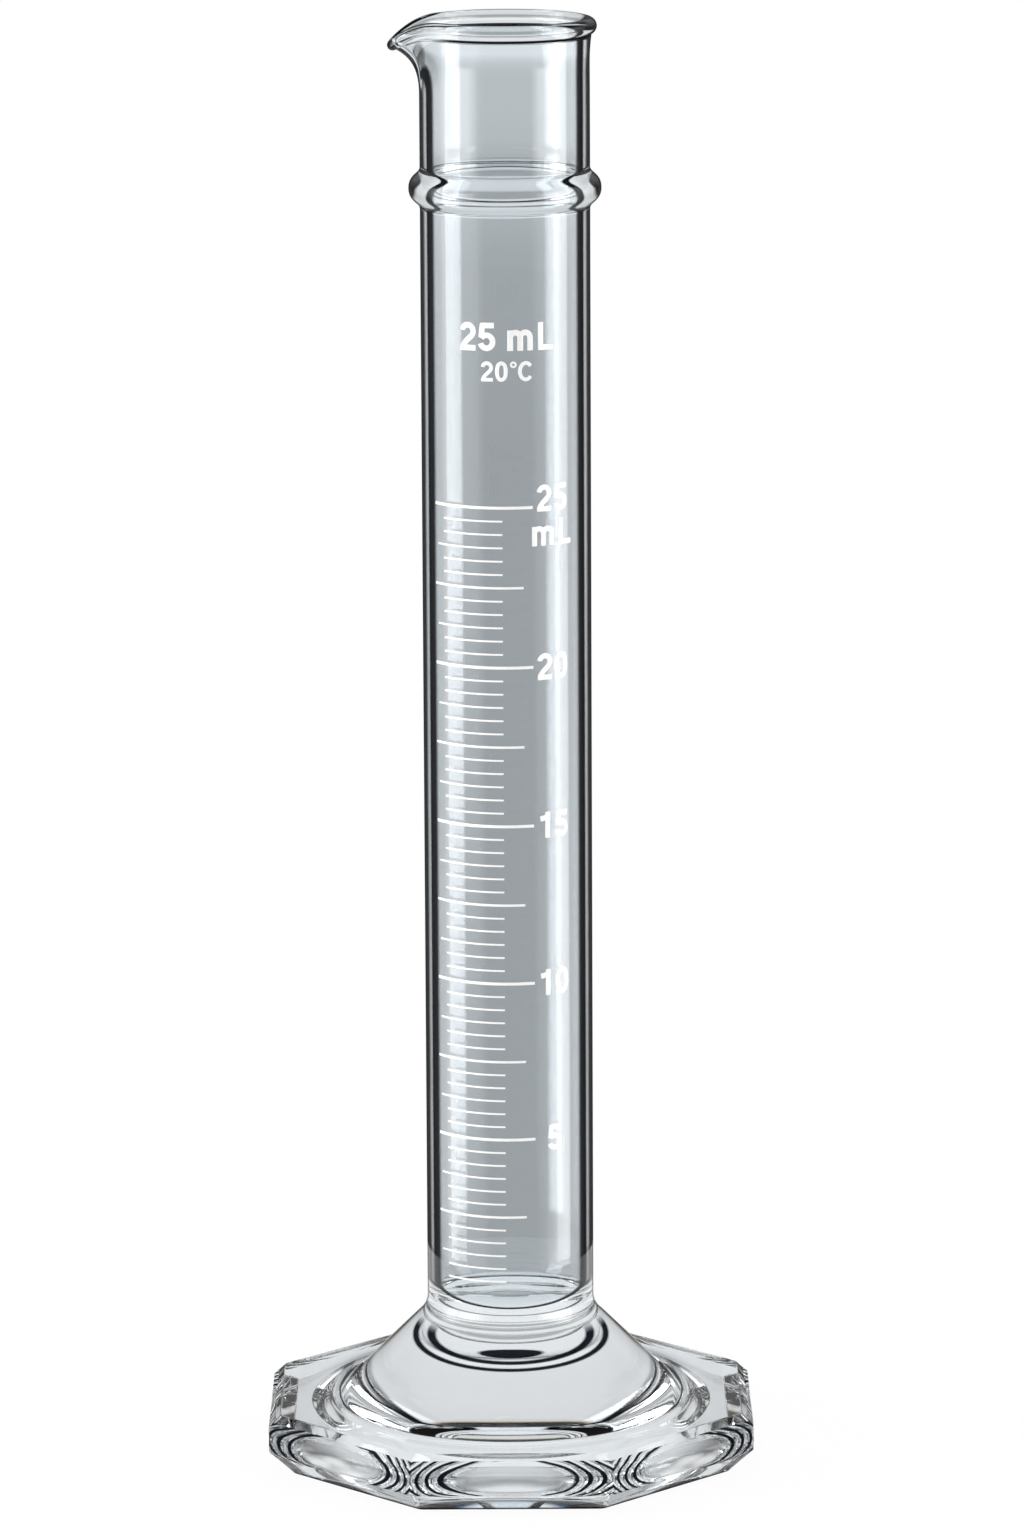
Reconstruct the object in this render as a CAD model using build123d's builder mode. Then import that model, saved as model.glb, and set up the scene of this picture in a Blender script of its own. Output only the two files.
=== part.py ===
"""A 25 mL graduated cylinder of clear glass: octagonal foot, dome, tube, guard ring, rolled lip and spout.

Millimetres, +Z up, origin on the table under the middle of the foot. The spout points to -X and the
printed scale faces -Y. Heights add up from the foot: dome, floor of the bore, top line of the scale
(where the bore holds its full volume), guard ring, lip.
"""

from build123d import *
from math import acos, atan2, cos, pi, radians, sin, sqrt, tan
import os

# Foot and dome
foot_across_flats = 58.6
foot_sides = 8
foot_thickness = 7.5
foot_corner_radius = 1.2
foot_top_bevel = 1.4
foot_bottom_bevel = 3.0
stand_width = 2.3
hollow_depth = 3.4
hollow_wall_run = 3.5
hollow_blend_radius = 3.0
dome_height = 10.7
dome_set_back = 8.5
dome_blend_radius = 11.3
neck_blend_radius = 3.5

# Tube and the rounded floor of its bore
tube_diameter = 20.2
wall = 1.15
floor_above_dome = 0.15
floor_corner_radius = 3.5

# Scale: numbered every ml_per_number, with lines_per_number lines from one number to the next
capacity_ml = 25
mm3_per_ml = 1000
ml_per_number = 5
lines_per_number = 12
lowest_line_above_floor = 5.23
enamel_thickness = 0.04

# Each kind of line: the steps below a number that it marks, where it starts and ends round the tube in
# degrees off the front, and its thickness
line_kinds = {
    "long_graduations": ([0], -56.0, 17.8, 0.36),
    "half_graduations": ([6], -56.0, 11.4, 0.29),
    "quarter_graduations": ([3, 9], -53.1, -2.8, 0.22),
    "short_graduations": ([1, 2, 4, 5, 7, 8, 10, 11], -47.1, -2.8, 0.22),
}

# Guard ring
ring_above_scale = 36.85
ring_projection = 1.35
ring_half_width = 2.5
ring_fullness = 1.6

# Rolled lip and spout
rim_above_ring = 19.15
bead_radius = 1.0
bead_ends = (172, -68)
bead_steps = 3
spout_height = 8.0
spout_reach = 3.25
spout_dip = 2.2
dip_set_back = 2.1
spout_tip_radius = 1.6
spout_bead_radius = 0.65
spout_lean = 60
spout_lean_growth = 0.7
spout_rise = 0.62
spout_pull = 0.33
spout_flare = 0.3
spout_angles = (0, 5, 11, 18, 26, 34, 43, 52)
seating_inset = 0.08

front_azimuth = -90
spout_azimuth = 180

tube_radius = tube_diameter / 2
bore_radius = tube_radius - wall
foot_radius = foot_across_flats / 2
hollow_radius = foot_radius - foot_bottom_bevel - stand_width
dome_top = foot_thickness + dome_height
floor_height = dome_top + floor_above_dome

# The rounded floor takes a little volume, which the height of the top line makes up for
bore_area = pi * bore_radius**2
corner_area = (1 - pi / 4) * floor_corner_radius**2
corner_centroid = floor_corner_radius * (1 - 1 / (6 * (1 - pi / 4)))
corner_volume = 2 * pi * (bore_radius - floor_corner_radius + corner_centroid) * corner_area
top_line_height = floor_height + (capacity_ml * mm3_per_ml + corner_volume) / bore_area

number_count = capacity_ml // ml_per_number
line_count = number_count * lines_per_number
line_spacing = (top_line_height - floor_height - lowest_line_above_floor) / (line_count - 1)

ring_height = top_line_height + ring_above_scale
rim_height = ring_height + rim_above_ring
lip_start_height = rim_height - spout_height
bead_centre_radius = bore_radius + bead_radius
dip_start = tube_radius - dip_set_back


def radial_plane(azimuth):
    """Upright plane through the axis, its x axis pointing outwards at an azimuth from +X in degrees."""
    return Plane.XZ.rotated((0, 0, azimuth))


def round_corner(before, corner, after, radius):
    """Curve that rounds a corner of a profile, within a hair of an arc of the radius."""
    into = (Vector(*corner) - Vector(*before)).normalized()
    onward = (Vector(*after) - Vector(*corner)).normalized()
    turn = radians(into.get_angle(onward))
    run = radius * tan(turn / 2)
    slack = run - radius * 4 / 3 * tan(turn / 4)
    corner = Vector(*corner)
    return Bezier(corner - into * run, corner - into * slack, corner + onward * slack, corner + onward * run)


def belt_radius(angle, circle_radius, reach, tip_radius):
    """Radius, at an angle off the spout, of a belt pulled round a circle and a small circle at the spout's tip."""
    tip_centre = circle_radius + reach - tip_radius
    tangent_angle = acos((circle_radius - tip_radius) / tip_centre)
    tip_angle = atan2(tip_radius * sin(tangent_angle), tip_centre + tip_radius * cos(tangent_angle))
    if angle >= tangent_angle:
        return circle_radius
    if angle > tip_angle:
        return circle_radius / cos(tangent_angle - angle)
    return tip_centre * cos(angle) + sqrt(tip_radius**2 - (tip_centre * sin(angle)) ** 2)


def draw_lip(degrees_off_spout, inset=0.0):
    """Section of the lip: inner wall, rolled bead, outer wall and the seat on the tube."""
    angle = radians(abs(degrees_off_spout))
    radius = belt_radius(angle, bead_centre_radius, spout_reach, spout_tip_radius)
    share = (radius - bead_centre_radius) / spout_reach
    lean = radians(spout_lean) * share**spout_lean_growth
    bead = bead_radius + (spout_bead_radius - bead_radius) * share
    tip_x = bead_centre_radius + spout_reach
    drop = max(radius * cos(angle) - dip_start, 0) / (tip_x - dip_start)
    height = rim_height - spout_dip * drop**2

    # Points round the bead, from the inner wall over the crown to the outer wall
    first, last = (radians(a) - lean for a in bead_ends)
    bead_angles = [first + (last - first) * step / bead_steps for step in range(bead_steps + 1)]
    round_bead = [(radius + bead * cos(a), height + bead * sin(a)) for a in bead_angles]
    headings = [(sin(a), -cos(a)) for a in (first, last)]

    def draw_wall(foot_point, end, flare_out):
        rise = end[1] - foot_point[1]
        pull = spout_pull * rise
        Bezier(
            foot_point,
            (foot_point[0], foot_point[1] + spout_rise * rise),
            (end[0] - pull * sin(lean) - flare_out, end[1] - pull * cos(lean)),
            end,
        )

    inner_foot = (bore_radius + inset, lip_start_height)
    outer_foot = (tube_radius - inset, lip_start_height)
    draw_wall(inner_foot, round_bead[0], 0)
    Spline(*round_bead, tangents=headings, tangent_scalars=(1, 1))
    draw_wall(outer_foot, round_bead[-1], spout_flare * (1 - share))
    Line(outer_foot, inner_foot)


os.makedirs("parts", exist_ok=True)

with BuildPart() as glass_body:
    # Octagonal slab, one flat to the front: bevelled, then trimmed to rounded corners
    with BuildSketch():
        RegularPolygon(foot_radius, foot_sides, major_radius=False, rotation=180 / foot_sides)
    extrude(amount=foot_thickness)
    chamfer(glass_body.edges().group_by(Axis.Z)[-1], length=foot_top_bevel)
    chamfer(glass_body.edges().group_by(Axis.Z)[0], length=foot_bottom_bevel)
    with BuildSketch() as trimmed:
        RegularPolygon(foot_radius, foot_sides, major_radius=False, rotation=180 / foot_sides)
        fillet(trimmed.vertices(), radius=foot_corner_radius)
    extrude(amount=foot_thickness, mode=Mode.INTERSECT)

    # Tube, guard ring and dome, turned as one profile
    tube_start = (tube_radius, lip_start_height)
    ring_top = (tube_radius, ring_height + ring_half_width)
    ring_crest = (tube_radius + ring_projection, ring_height)
    ring_bottom = (tube_radius, ring_height - ring_half_width)
    neck = (tube_radius, dome_top)
    dome_foot = (foot_radius - dome_set_back, foot_thickness)
    slab_edge = (foot_radius - foot_top_bevel, foot_thickness)
    slope = atan2(dome_height, dome_foot[0] - tube_radius)
    widest_blend = (slab_edge[0] - dome_foot[0]) / tan(slope / 2)
    with BuildSketch(Plane.XZ):
        with BuildLine():
            Line(tube_start, ring_top)
            for end in (ring_top, ring_bottom):
                fullness = ring_fullness if end is ring_top else -ring_fullness
                Bezier(
                    end,
                    (tube_radius, ring_height + fullness),
                    (ring_crest[0], ring_height + fullness),
                    ring_crest,
                )
            neck_curve = round_corner(ring_bottom, neck, dome_foot, neck_blend_radius)
            Line(ring_bottom, neck_curve @ 0)
            dome_curve = round_corner(neck, dome_foot, slab_edge, min(dome_blend_radius, widest_blend))
            Line(neck_curve @ 1, dome_curve @ 0)
            end_radius = (dome_curve @ 1).X
            Polyline(dome_curve @ 1, (end_radius, 0), (0, 0), (0, lip_start_height), tube_start)
        make_face()
    revolve(axis=Axis.Z)

    # Bore with its rounded floor, and the shallow hollow that leaves the foot standing on its rim
    with BuildSketch(Plane.XZ):
        with BuildLine():
            mouth = (bore_radius, lip_start_height)
            floor_curve = round_corner(mouth, (bore_radius, floor_height), (0, floor_height), floor_corner_radius)
            Line(mouth, floor_curve @ 0)
            Polyline(floor_curve @ 1, (0, floor_height), (0, lip_start_height), mouth)
        make_face()
    revolve(axis=Axis.Z, mode=Mode.SUBTRACT)
    with BuildSketch(Plane.XZ):
        with BuildLine():
            ceiling = (0, hollow_depth)
            brim = (hollow_radius - hollow_wall_run, hollow_depth)
            hollow_curve = round_corner(ceiling, brim, (hollow_radius, 0), hollow_blend_radius)
            Line(ceiling, hollow_curve @ 0)
            below = [(hollow_radius, 0), (hollow_radius, -hollow_depth), (0, -hollow_depth)]
            Polyline(hollow_curve @ 1, *below, ceiling)
        make_face()
    revolve(axis=Axis.Z, mode=Mode.SUBTRACT)

    # Lip: a plain turned stretch, then the spout, lofted through sections that swing across it
    lip_edge = max(spout_angles)
    with BuildSketch(radial_plane(spout_azimuth + lip_edge)):
        with BuildLine():
            draw_lip(lip_edge)
        make_face()
    revolve(axis=Axis.Z, revolution_arc=360 - 2 * lip_edge)
    for off_spout in [-angle for angle in reversed(spout_angles)] + list(spout_angles[1:]):
        with BuildSketch(radial_plane(spout_azimuth + off_spout)):
            with BuildLine():
                draw_lip(off_spout, seating_inset)
            make_face()
    loft()

glass_body.part.label = "glass_body"
export_step(glass_body.part, "parts/glass_body.step")

# Lines of the scale, each a thin band of enamel round the front of the tube
for name, (steps, start, end, thickness) in line_kinds.items():
    with BuildPart() as lines:
        with BuildSketch(radial_plane(front_azimuth + start)):
            for number in range(number_count):
                for step in steps:
                    height = top_line_height - (number * lines_per_number + step) * line_spacing
                    with Locations((tube_radius + enamel_thickness / 2, height)):
                        Rectangle(enamel_thickness, thickness)
        revolve(axis=Axis.Z, revolution_arc=end - start)
    lines.part.label = name
    export_step(lines.part, f"parts/{name}.step")
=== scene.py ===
"""Looks for the 25 mL graduated cylinder: clear glass, fired white print, a pale table and soft studio light.

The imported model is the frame. Every size below is in metres, in the same frame as the model: Z up, the scale
facing -Y, the spout pointing to -X.
"""

import bpy
import numpy as np
from mathutils import Euler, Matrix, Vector


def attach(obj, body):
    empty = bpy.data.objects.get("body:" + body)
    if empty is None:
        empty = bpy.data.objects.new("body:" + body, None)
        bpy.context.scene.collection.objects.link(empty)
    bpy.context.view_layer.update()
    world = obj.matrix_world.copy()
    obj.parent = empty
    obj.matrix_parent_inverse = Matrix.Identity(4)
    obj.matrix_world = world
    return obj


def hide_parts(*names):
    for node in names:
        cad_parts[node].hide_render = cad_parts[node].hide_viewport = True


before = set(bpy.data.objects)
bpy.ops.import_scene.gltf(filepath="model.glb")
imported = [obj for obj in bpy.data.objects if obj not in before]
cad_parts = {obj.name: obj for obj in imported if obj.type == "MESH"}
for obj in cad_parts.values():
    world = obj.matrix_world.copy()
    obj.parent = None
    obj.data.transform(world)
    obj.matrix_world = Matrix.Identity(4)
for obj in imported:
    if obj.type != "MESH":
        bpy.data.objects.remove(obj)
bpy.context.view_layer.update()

bl_info = {
    "name": "Graduated cylinder",
    "version": (1, 0, 0),
    "blender": (4, 5, 0),
    "location": "View3D > Sidebar > Cylinder",
    "description": "Builds a glass graduated cylinder with its printed scale, and the stage it stands on",
    "category": "Object",
}

MM = 0.001
TUBE_RADIUS = 10.1 * MM
FRONT = -np.pi / 2
SPOUT = np.pi


# ---------------------------------------------------------------- curves and meshes


def cubic(a, b, c, d, steps):
    """Points on a cubic curve: the four control points in the shares (1-t)^3, 3t(1-t)^2, 3t^2(1-t) and t^3."""
    t = np.linspace(0, 1, steps + 1)[:, None]
    a, b, c, d = (np.asarray(p, float) for p in (a, b, c, d))
    return (1 - t) ** 3 * a + 3 * t * (1 - t) ** 2 * b + 3 * t**2 * (1 - t) * c + t**3 * d


def straight(a, b, steps):
    """Points at equal steps from a to b."""
    t = np.linspace(0, 1, steps + 1)[:, None]
    return (1 - t) * np.asarray(a, float) + t * np.asarray(b, float)


def rounded(before, corner, after, radius, steps):
    """Points round a corner between two straight runs, within a hair of an arc of that radius."""
    before, corner, after = (np.asarray(p, float) for p in (before, corner, after))
    back = (before - corner) / np.linalg.norm(before - corner)
    on = (after - corner) / np.linalg.norm(after - corner)
    turn = np.pi - np.arccos(np.clip(back @ on, -1, 1))
    run = radius * np.tan(turn / 2)
    slack = run - radius * 4 / 3 * np.tan(turn / 4)
    return cubic(corner + back * run, corner + back * slack, corner + on * slack, corner + on * run, steps)


def chain(*runs):
    """Joins runs of points end to end, dropping the points that two runs share."""
    points = np.concatenate(runs)
    apart = np.linalg.norm(np.diff(points, axis=0), axis=1) > 1e-9
    return points[np.concatenate(([True], apart))]


def closed_surface(name, rows, first_pole, last_pole):
    """A closed mesh from a grid of rows by columns, each row a ring, shut at both ends by a fan to a pole.

    Corner normals are the sums of the neighbouring faces' normals weighted by area, so flats stay flat up to
    their rounded edges.
    """
    count, around = rows.shape[:2]
    points = np.concatenate((rows.reshape(-1, 3), [first_pole, last_pole]))
    index = np.arange(count * around).reshape(count, around)
    a, b = index[:-1], np.roll(index[:-1], -1, axis=1)
    d, c = index[1:], np.roll(index[1:], -1, axis=1)
    quads = np.stack((a, b, c, d), axis=-1).reshape(-1, 4)
    low, low_next = index[0], np.roll(index[0], -1)
    high, high_next = index[-1], np.roll(index[-1], -1)
    pole = np.full(around, count * around)
    fans = np.concatenate((np.stack((low_next, low, pole), axis=-1), np.stack((high, high_next, pole + 1), axis=-1)))
    mesh = bpy.data.meshes.new(name)
    mesh.from_pydata(points.tolist(), [], quads.tolist() + fans.tolist())
    quad_normals = np.cross(points[quads[:, 2]] - points[quads[:, 0]], points[quads[:, 3]] - points[quads[:, 1]])
    fan_normals = np.cross(points[fans[:, 1]] - points[fans[:, 0]], points[fans[:, 2]] - points[fans[:, 0]])
    normals = np.zeros_like(points)
    for corner in range(4):
        np.add.at(normals, quads[:, corner], quad_normals)
    for corner in range(3):
        np.add.at(normals, fans[:, corner], fan_normals)
    normals /= np.linalg.norm(normals, axis=1, keepdims=True)
    mesh.shade_smooth()
    mesh.normals_split_custom_set_from_vertices(normals.tolist())
    return add_object(name, mesh)


def add_object(name, mesh):
    """Links a mesh to the scene as an object at the origin."""
    made = bpy.data.objects.new(name, mesh)
    bpy.context.scene.collection.objects.link(made)
    return made


# ---------------------------------------------------------------- glass body


def column_angles(sides, per_side, corner_half_angle):
    """Azimuths of the columns: close together round each corner of the foot and even along its sides."""
    near = np.array([0, 0.34, 0.67, 1.0]) * corner_half_angle
    half = np.pi / sides
    left = per_side - 2 * len(near) + 1
    between = np.linspace(corner_half_angle, 2 * half - corner_half_angle, left + 2)[1:-1]
    one = np.concatenate((near, between, 2 * half - near[:0:-1]))
    return np.concatenate([one + half + 2 * half * k for k in range(sides)])


def foot_outline(angle, apothem, corner_radius, sides):
    """Distance from the axis of a rounded polygon: apothem / cos along a side, a circle's edge at a corner."""
    half = np.pi / sides
    off_side = np.mod(angle + half, 2 * half) - half
    centre = (apothem - corner_radius) / np.cos(half)
    turn = half - np.abs(off_side)
    tangent = np.arctan((apothem - corner_radius) * np.tan(half) / apothem)
    reach = np.sqrt(np.maximum(corner_radius**2 - (centre * np.sin(turn)) ** 2, 0))
    return np.where(np.abs(off_side) < tangent, apothem / np.cos(off_side), centre * np.cos(turn) + reach)


def belt_radius(angle, circle, reach, tip):
    """Distance from the axis of a belt pulled round a circle and a small circle at the spout's tip."""
    tip_centre = circle + reach - tip
    tangent = np.arccos((circle - tip) / tip_centre)
    tip_angle = np.arctan2(tip * np.sin(tangent), tip_centre + tip * np.cos(tangent))
    on_line = circle / np.cos(np.clip(tangent - angle, 0, 1.5))
    on_tip = tip_centre * np.cos(angle) + np.sqrt(np.maximum(tip**2 - (tip_centre * np.sin(angle)) ** 2, 0))
    return np.where(angle >= tangent, circle, np.where(angle > tip_angle, on_line, on_tip))


def lip_rows(angles, sizes, steps):
    """Rows of the lip from the tube's outer wall over the bead to the bore, one section for each column.

    Each section is a wall, a bead and a wall: the bead's centre follows the belt round tube and spout, and leans
    out, thins and dips with its share of the spout's reach.
    """
    s = sizes
    off = np.abs(np.mod(angles - SPOUT + np.pi, 2 * np.pi) - np.pi)
    bore = s.tube_radius - s.wall
    circle = bore + s.bead_radius
    radius = belt_radius(off, circle, s.spout_reach, s.spout_tip_radius)
    share = (radius - circle) / s.spout_reach
    lean = s.spout_lean * share**s.spout_lean_growth
    bead = s.bead_radius + (s.spout_bead_radius - s.bead_radius) * share
    start = s.tube_radius - s.dip_set_back
    drop = np.maximum(radius * np.cos(off) - start, 0) / (circle + s.spout_reach - start)
    height = s.rim_height - s.spout_dip * drop**2
    first, last = (np.radians(a) for a in (-68, 172))
    turns = np.linspace(first, last, steps + 1)[:, None] - lean
    bead_rows = np.stack((radius + bead * np.cos(turns), height + bead * np.sin(turns)), axis=-1)

    def wall(foot_radius, end, flare):
        foot = np.stack((np.full_like(radius, foot_radius), np.full_like(radius, s.lip_start)), axis=-1)
        rise = (end[:, 1] - foot[:, 1])[:, None]
        pull = s.spout_pull * rise[:, 0]
        near = foot + rise * [0, s.spout_rise]
        far = np.stack((end[:, 0] - pull * np.sin(lean) - flare, end[:, 1] - pull * np.cos(lean)), axis=-1)
        t = np.linspace(0, 1, steps + 1)[:, None, None]
        return (1 - t) ** 3 * foot + 3 * t * (1 - t) ** 2 * near + 3 * t**2 * (1 - t) * far + t**3 * end

    outer = wall(s.tube_radius, bead_rows[0], s.spout_flare * (1 - share))
    inner = wall(bore, bead_rows[-1], 0 * share)
    return np.concatenate((outer[:-1], bead_rows, inner[::-1][1:]))


def glass_surface(sizes):
    """The whole glass body as rows of (radius, height) per column, from the hollow under the foot to the bore's floor.

    Rows up to the top of the slab follow the rounded polygon, rows from the dome on follow circles, and the rows
    of the lip follow the belt.
    """
    s = sizes
    angles = column_angles(s.foot_sides, s.columns_per_side, np.radians(0.92))
    one = np.ones_like(angles)

    def turned(profile):
        return np.stack((profile[:, :1] * one, profile[:, 1:] * one), axis=-1)

    def polygonal(profile):
        radii = np.stack([foot_outline(angles, r, s.foot_corner_radius, s.foot_sides) for r in profile[:, 0]])
        # A shallow oval in the middle of each side: as deep as the square of what is left of 1 - x^2 - z^2
        half = np.pi / s.foot_sides
        across = s.foot_apothem * np.tan(np.mod(angles + half, 2 * half) - half) / s.oval_half_width
        middle = (s.foot_bottom_bevel + s.foot_thickness - s.foot_top_bevel) / 2
        up = (profile[:, 1:] - middle) / s.oval_half_height
        on_side = profile[:, :1] > s.foot_apothem - 0.1 * MM
        left = np.clip(1 - across**2 - up**2, 0, None) * on_side
        radii = radii - s.oval_depth * left**s.oval_power
        return np.stack((radii, profile[:, 1:] * one), axis=-1)

    a, thick = s.foot_apothem, s.foot_thickness
    fine = s.edge_radius

    # Underside: shallow hollow with a flat ceiling and a sloping wall, then the flat that the foot stands on
    top, brim, rim = (0, s.hollow_depth), (s.ceiling_radius, s.hollow_depth), (s.hollow_radius, 0)
    bend = rounded(top, brim, rim, s.hollow_blend, 10)
    edge = rounded(brim, rim, (a, 0), fine, 5)
    hollow = chain(straight(top, bend[0], 12)[1:], bend, straight(bend[-1], edge[0], 3), edge)
    stand = (a - s.foot_bottom_bevel, 0)
    low, high, shelf = (a, s.foot_bottom_bevel), (a, thick - s.foot_top_bevel), (a - s.foot_top_bevel, thick)
    foot_profile = chain(
        rounded(rim, stand, low, fine, 5),
        rounded(stand, low, high, fine, 5),
        straight((a, s.foot_bottom_bevel + fine), (a, thick - s.foot_top_bevel - fine), 10),
        rounded(low, high, shelf, fine, 5),
        rounded(high, shelf, (0, thick), fine, 5),
    )

    # Dome, tube and guard ring
    neck, dome_foot = (s.tube_radius, thick + s.dome_height), (a - s.dome_set_back, thick)
    ring_low = (s.tube_radius, s.ring_height - s.ring_half_width)
    ring_crest = (s.tube_radius + s.ring_projection, s.ring_height)
    ring_top = (s.tube_radius, s.ring_height + s.ring_half_width)
    dome = rounded(shelf, dome_foot, neck, s.dome_blend, 26)
    neck_run = rounded(dome_foot, neck, ring_low, s.neck_blend, 12)
    lift = s.ring_fullness
    upper = chain(
        dome,
        straight(dome[-1], neck_run[0], 8),
        neck_run,
        straight(neck_run[-1], ring_low, 20),
        cubic(ring_low, (ring_low[0], s.ring_height - lift), (ring_crest[0], s.ring_height - lift), ring_crest, 12),
        cubic(ring_crest, (ring_crest[0], s.ring_height + lift), (ring_top[0], s.ring_height + lift), ring_top, 12),
        straight(ring_top, (s.tube_radius, s.lip_start), 4)[:-1],
    )

    # Bore, from the lip down to its rounded floor
    bore = s.tube_radius - s.wall
    mouth, corner = (bore, s.lip_start), (bore, s.floor_height)
    bend = rounded(mouth, corner, (0, s.floor_height), s.floor_corner_radius, 16)
    inside = chain(straight(mouth, bend[0], 14)[1:], bend, straight(bend[-1], (0, s.floor_height), 10)[:-1])

    grid = np.concatenate(
        (turned(hollow), polygonal(foot_profile), turned(upper), lip_rows(angles, s, 16), turned(inside))
    )
    x, y = grid[..., 0] * np.cos(angles), grid[..., 0] * np.sin(angles)
    return np.stack((x, y, grid[..., 1]), axis=-1)


# ---------------------------------------------------------------- print


def wrapped_strips(name, paths, radius, proud, sunk):
    """Strips of enamel on the tube: each path of (way round, height) is given a width and a low rounded section.

    A strip's section has five points across its top and three across its underside, and each path's ends are shut.
    """
    all_points, all_faces, base = [], [], 0
    across = np.array([-1.0, -0.82, 0.0, 0.82, 1.0, 0.8, 0.0, -0.8])
    height = np.array([0.25, 0.9, 1.0, 0.9, 0.25, 0.0, 0.0, 0.0])
    for path, width in paths:
        path = np.asarray(path, float)
        along = np.gradient(path, axis=0)
        along /= np.linalg.norm(along, axis=1, keepdims=True)
        side = np.stack((-along[:, 1], along[:, 0]), axis=1)
        flat = path[:, None] + side[:, None] * across[None, :, None] * np.reshape(width, (-1, 1, 1)) / 2
        out = radius - sunk + (proud + sunk) * height
        angle = FRONT + flat[..., 0] / radius
        points = np.stack((out * np.cos(angle), out * np.sin(angle), flat[..., 1]), axis=-1)
        count, ring = points.shape[:2]
        index = base + np.arange(count * ring).reshape(count, ring)
        a, b = index[:-1], np.roll(index[:-1], -1, axis=1)
        d, c = index[1:], np.roll(index[1:], -1, axis=1)
        all_faces += np.stack((a, d, c, b), axis=-1).reshape(-1, 4).tolist()
        all_faces += [index[0].tolist(), index[-1][::-1].tolist()]
        all_points.append(points.reshape(-1, 3))
        base += count * ring
    mesh = bpy.data.meshes.new(name)
    mesh.from_pydata(np.concatenate(all_points).tolist(), [], all_faces)
    mesh.shade_flat()
    return add_object(name, mesh)


def arc(cx, cy, rx, ry, start, end, steps=20):
    """Points on part of an ellipse, from one angle to the other in degrees."""
    t = np.radians(np.linspace(start, end, steps + 1))
    return np.stack((cx + rx * np.cos(t), cy + ry * np.sin(t)), axis=1)


def line(*points):
    """Points at close steps along straight runs."""
    return chain(*[straight(a, b, 6) for a, b in zip(points, points[1:])])


def bowl_zero():
    t = np.linspace(0, 2 * np.pi, 41)
    c, s = np.cos(t), np.sin(t)
    return np.stack((0.31 + 0.215 * np.sign(c) * np.abs(c) ** 0.86, 0.5 + 0.41 * np.sign(s) * np.abs(s) ** 0.86), axis=1)


STROKES = {
    "0": (0.72, [bowl_zero()]),
    "1": (0.72, [line((0.40, 0), (0.40, 1)), line((0.10, 0.745), (0.40, 0.80))]),
    "2": (
        0.72,
        [
            chain(arc(0.31, 0.69, 0.215, 0.22, 172, -28), cubic((0.50, 0.587), (0.43, 0.44), (0.15, 0.33), (0.105, 0.06), 12)),
            line((0.02, 0.09), (0.61, 0.09)),
        ],
    ),
    "5": (
        0.72,
        [
            line((0.13, 0.91), (0.57, 0.91)),
            line((0.165, 0.99), (0.105, 0.47)),
            arc(0.30, 0.325, 0.225, 0.235, 148, -165, 28),
        ],
    ),
    "m": (
        1.12,
        [
            line((0.09, 0), (0.09, 0.74)),
            chain(arc(0.27, 0.47, 0.18, 0.185, 170, 0), line((0.45, 0.47), (0.45, 0))),
            chain(arc(0.63, 0.47, 0.18, 0.185, 180, 0), line((0.81, 0.47), (0.81, 0))),
        ],
    ),
    "L": (0.68, [line((0.09, 0), (0.09, 1)), line((0.02, 0.09), (0.60, 0.09))]),
    "C": (0.84, [arc(0.40, 0.5, 0.30, 0.41, 38, 322, 30)]),
    "o": (0.40, [arc(0.18, 0.83, 0.115, 0.115, 0, 360, 24)]),
    " ": (0.34, []),
}


def word_strokes(word, centre, height, weight):
    """Strokes of a word, centred at (way round, height) on the tube and scaled to the height of its capitals."""
    width = sum(STROKES[c][0] for c in word) - 0.1
    x, strokes = -width / 2, []
    for c in word:
        advance, paths = STROKES[c]
        thin = 0.55 if c == "o" else 1.0
        strokes += [((p + (x, -0.5)) * height + centre, weight * height * thin) for p in paths]
        x += advance
    return strokes


# ---------------------------------------------------------------- materials


def new_material(name):
    """An empty material with a Principled shader, as (material, nodes, links, shader)."""
    made = bpy.data.materials.new(name)
    made.use_nodes = True
    nodes, links = made.node_tree.nodes, made.node_tree.links
    return made, nodes, links, nodes["Principled BSDF"]


def add_node(tree_nodes, kind, **values):
    """A node with its inputs and settings: names that are inputs are set there, the rest as attributes."""
    node = tree_nodes.new(kind)
    for key, value in values.items():
        if key in node.inputs:
            node.inputs[key].default_value = value
        else:
            setattr(node, key, value)
    return node


def calculator(nodes, links):
    """A function that adds one arithmetic node for an operation on numbers or outputs, and returns its output."""

    def calc(operation, *values):
        node = add_node(nodes, "ShaderNodeMath", operation=operation)
        for socket, value in zip(node.inputs, values):
            if isinstance(value, bpy.types.NodeSocket):
                links.new(value, socket)
            else:
                socket.default_value = value
        return node.outputs[0]

    return calc


def stepped(nodes, links, value, low, high):
    """0 below low, 1 above high and a smooth step between."""
    node = add_node(nodes, "ShaderNodeMapRange", interpolation_type="SMOOTHSTEP")
    node.inputs["From Min"].default_value = low
    node.inputs["From Max"].default_value = high
    links.new(value, node.inputs["Value"])
    return node.outputs["Result"]


def curve_points(ramp, stops):
    """Gives a colour ramp its stops, as (place, grey)."""
    while len(ramp.elements) < len(stops):
        ramp.elements.new(1.0)
    for element, (place, grey) in zip(ramp.elements, stops):
        element.position = place
        element.color = (grey, grey, grey, 1) if np.isscalar(grey) else (*grey, 1)


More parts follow.
